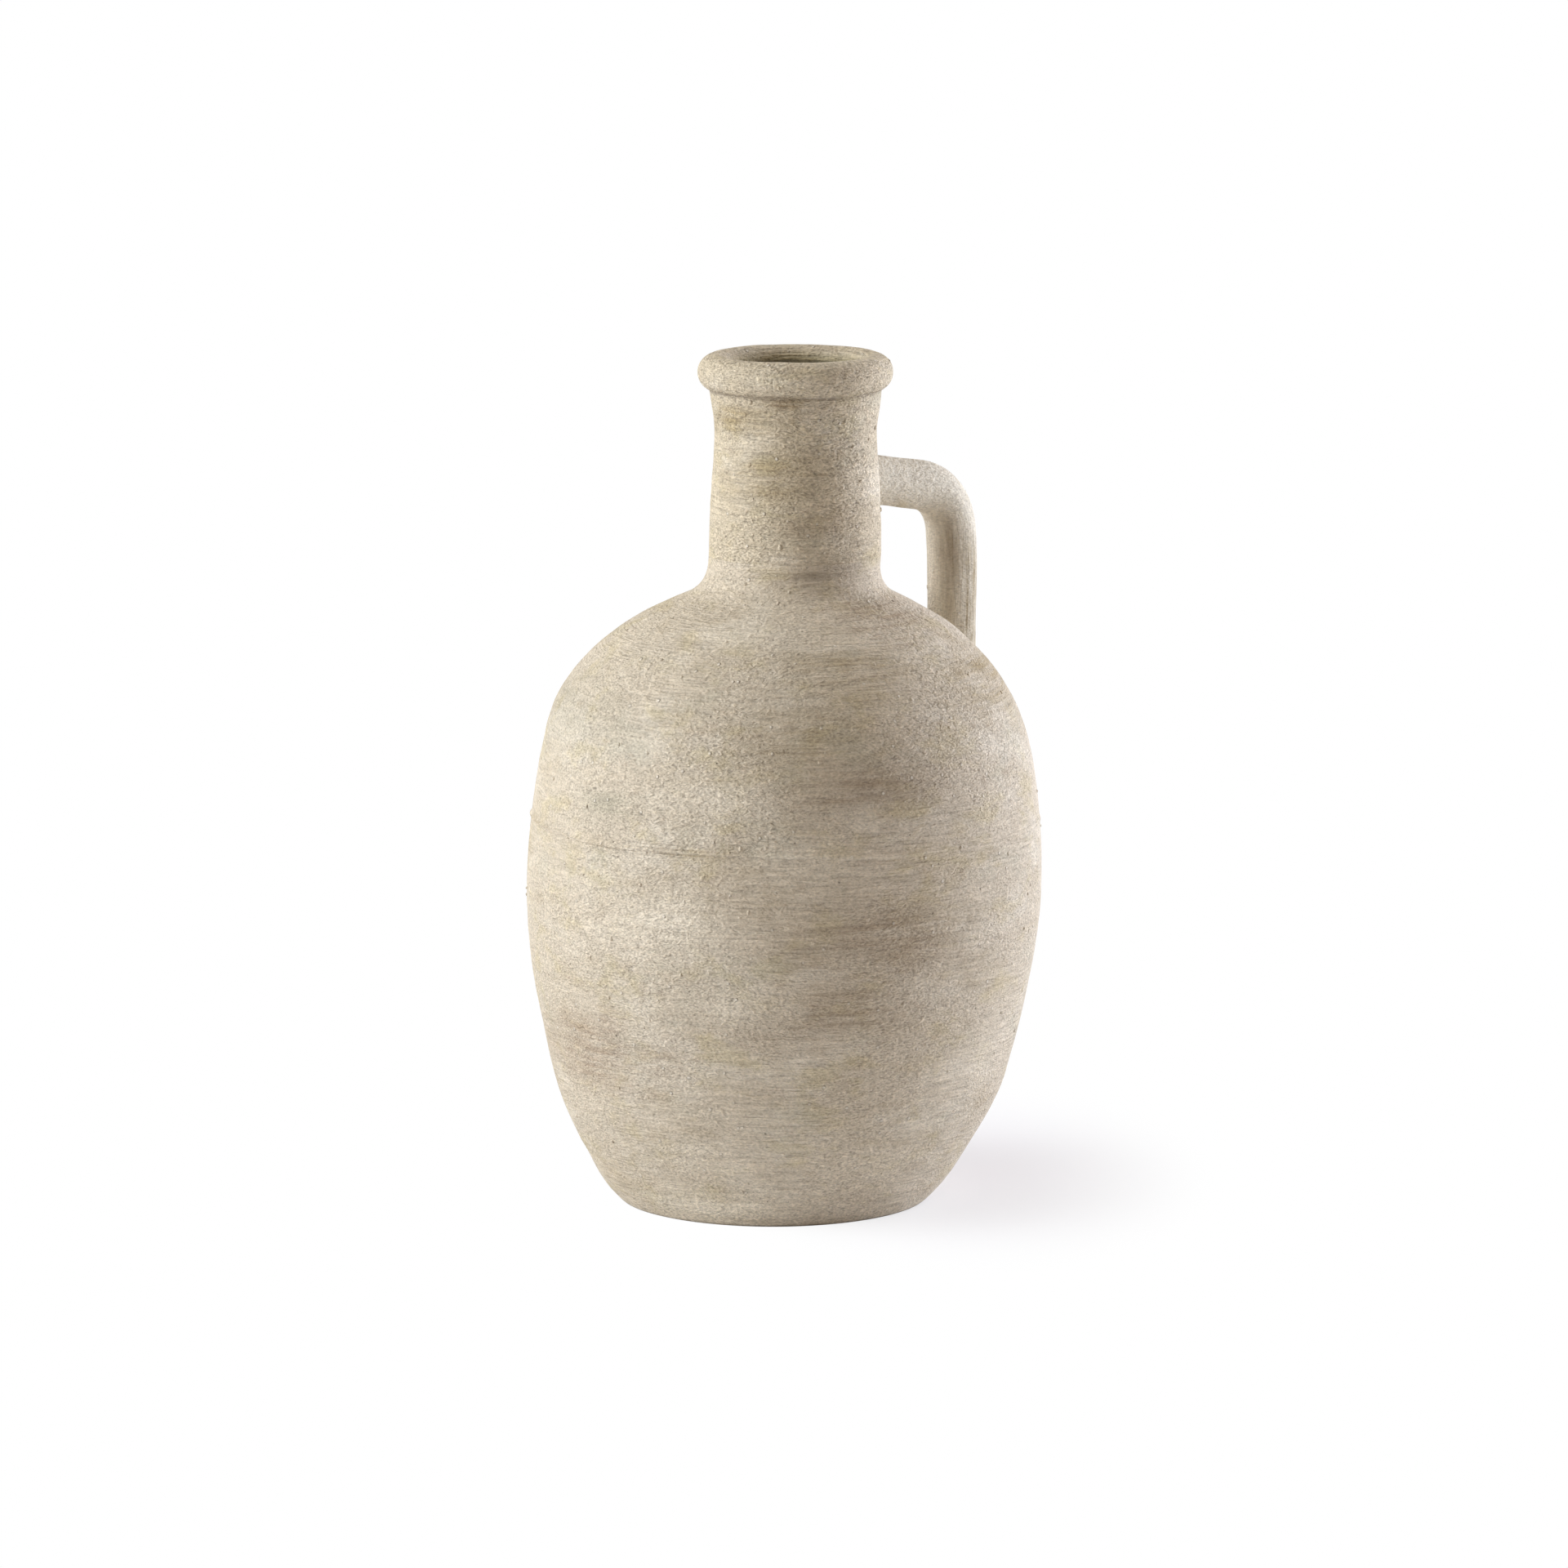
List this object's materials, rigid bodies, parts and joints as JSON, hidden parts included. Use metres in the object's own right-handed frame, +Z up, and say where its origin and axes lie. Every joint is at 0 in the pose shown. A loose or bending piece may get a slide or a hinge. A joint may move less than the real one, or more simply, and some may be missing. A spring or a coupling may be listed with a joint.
{
  "type": "one-handled ceramic jug vase",
  "caption": "Egg-shaped fired-clay jug vase with a waisted neck, a rolled lip and a bent bar handle from neck to shoulder.",
  "frame": {"origin": "centre of the base, on the plane the vase stands on", "axes": "+Z up along the turning axis of the vase, +X from that axis towards the handle"},
  "size_m": [0.2422, 0.2422, 0.4],
  "materials": {
    "washed_clay": "unglazed fired clay under a rubbed lime and earth wash, matte and slightly sandy",
    "bare_clay": "unglazed fired clay inside the vessel, without the wash",
    "joint_slip": "fired slip in the joints between the clay members"
  },
  "bodies": {
    "root": {"floor_slab": "washed_clay", "floor_slip": "joint_slip", "foot_coil": "bare_clay", "lower_body": "washed_clay", "belly_slip": "joint_slip", "upper_body": "washed_clay", "collar_slip": "joint_slip", "neck": "washed_clay", "lip_slip": "joint_slip", "rolled_lip": "washed_clay", "handle": "washed_clay", "handle_top_luting": "washed_clay", "handle_root_luting": "washed_clay"}
  },
  "joints": []
}
